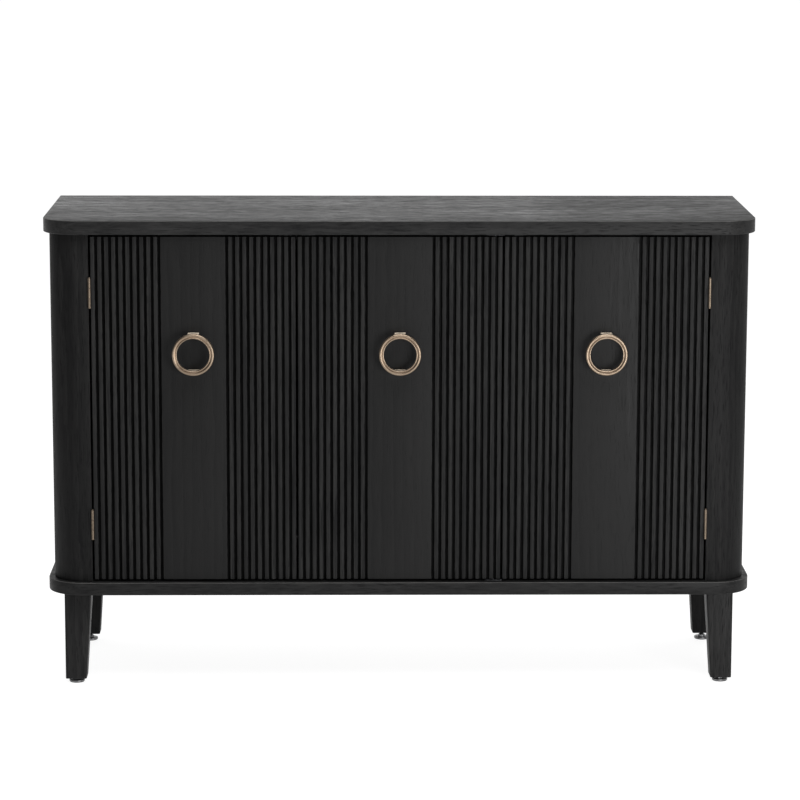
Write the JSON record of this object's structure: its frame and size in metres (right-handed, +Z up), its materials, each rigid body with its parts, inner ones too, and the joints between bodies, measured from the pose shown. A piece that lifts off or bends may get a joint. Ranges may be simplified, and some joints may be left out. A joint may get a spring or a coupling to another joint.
{
  "type": "sideboard",
  "caption": "Low storage cabinet with reeded flush doors, fixed ring pulls, round front corners and overhanging top and base slabs, on short tapered legs with levelling feet.",
  "frame": {"origin": "on the floor, under the middle of the bounding box", "axes": "+X to the right of a person who faces the doors, +Y towards the back, +Z up"},
  "size_m": [1.2, 0.394, 0.802],
  "materials": {
    "stained_wood": "black stained open-grain wood, satin",
    "reeded_door_wood": "black stained open-grain wood, satin, grain upright",
    "back_board": "black painted fibreboard, matt",
    "aged_brass": "lightly aged, satin",
    "zinc_steel": "zinc plated",
    "black_plastic": "moulded"
  },
  "bodies": {
    "case": {"back_left_leg": "stained_wood", "back_panel": "back_board", "back_right_leg": "stained_wood", "base_panel": "stained_wood", "front_left_leg": "stained_wood", "front_right_leg": "stained_wood", "left_corner_post": "stained_wood", "left_lower_hinge_case_leaf": "aged_brass", "left_lower_hinge_pin": "aged_brass", "left_shelf": "stained_wood", "left_shelf_pin_back_left": "zinc_steel", "left_shelf_pin_back_right": "zinc_steel", "left_shelf_pin_front_left": "zinc_steel", "left_shelf_pin_front_right": "zinc_steel", "left_side_panel": "stained_wood", "left_upper_hinge_case_leaf": "aged_brass", "left_upper_hinge_pin": "aged_brass", "lower_pivot_plate": "zinc_steel", "pair_catch": "black_plastic", "partition": "stained_wood", "right_corner_post": "stained_wood", "right_lower_hinge_case_leaf": "aged_brass", "right_lower_hinge_pin": "aged_brass", "right_shelf": "stained_wood", "right_shelf_pin_back_left": "zinc_steel", "right_shelf_pin_back_right": "zinc_steel", "right_shelf_pin_front_left": "zinc_steel", "right_shelf_pin_front_right": "zinc_steel", "right_side_panel": "stained_wood", "right_upper_hinge_case_leaf": "aged_brass", "right_upper_hinge_pin": "aged_brass", "single_catch": "black_plastic", "top_panel": "stained_wood", "upper_pivot_plate": "zinc_steel"},
    "left_door_body": {"left_door": "reeded_door_wood", "left_lower_hinge_door_leaf": "aged_brass", "left_ring_post_lower": "aged_brass", "left_ring_post_upper": "aged_brass", "left_ring_pull": "aged_brass", "left_strike_plate": "zinc_steel", "left_upper_hinge_door_leaf": "aged_brass"},
    "middle_door_body": {"lower_pivot_bush": "black_plastic", "middle_door": "reeded_door_wood", "middle_ring_post_lower": "aged_brass", "middle_ring_post_upper": "aged_brass", "middle_ring_pull": "aged_brass", "middle_strike_plate": "zinc_steel", "upper_pivot_bush": "black_plastic"},
    "right_door_body": {"right_door": "reeded_door_wood", "right_lower_hinge_door_leaf": "aged_brass", "right_ring_post_lower": "aged_brass", "right_ring_post_upper": "aged_brass", "right_ring_pull": "aged_brass", "right_strike_plate": "zinc_steel", "right_upper_hinge_door_leaf": "aged_brass"},
    "front_left_foot_body": {"front_left_foot": "zinc_steel"},
    "front_right_foot_body": {"front_right_foot": "zinc_steel"},
    "back_left_foot_body": {"back_left_foot": "zinc_steel"},
    "back_right_foot_body": {"back_right_foot": "zinc_steel"}
  },
  "joints": [
    {"name": "left_door_hinge", "type": "hinge", "parent": "case", "child": "left_door_body", "pos_m": [-0.52, -0.1752, 0.48125], "axis": [0, 0, -1], "range_deg": [0, 110]},
    {"name": "middle_door_pivot", "type": "hinge", "parent": "case", "child": "middle_door_body", "pos_m": [0.15983, -0.165, 0.48125], "axis": [0, 0, 1], "range_deg": [0, 95]},
    {"name": "right_door_hinge", "type": "hinge", "parent": "case", "child": "right_door_body", "pos_m": [0.52, -0.1752, 0.48125], "axis": [0, 0, 1], "range_deg": [0, 110]},
    {"name": "front_left_foot_travel", "type": "slide", "parent": "case", "child": "front_left_foot_body", "axis": [0, 0, -1], "range_m": [0, 0.01]},
    {"name": "front_right_foot_travel", "type": "slide", "parent": "case", "child": "front_right_foot_body", "axis": [0, 0, -1], "range_m": [0, 0.01]},
    {"name": "back_left_foot_travel", "type": "slide", "parent": "case", "child": "back_left_foot_body", "axis": [0, 0, -1], "range_m": [0, 0.01]},
    {"name": "back_right_foot_travel", "type": "slide", "parent": "case", "child": "back_right_foot_body", "axis": [0, 0, -1], "range_m": [0, 0.01]}
  ]
}
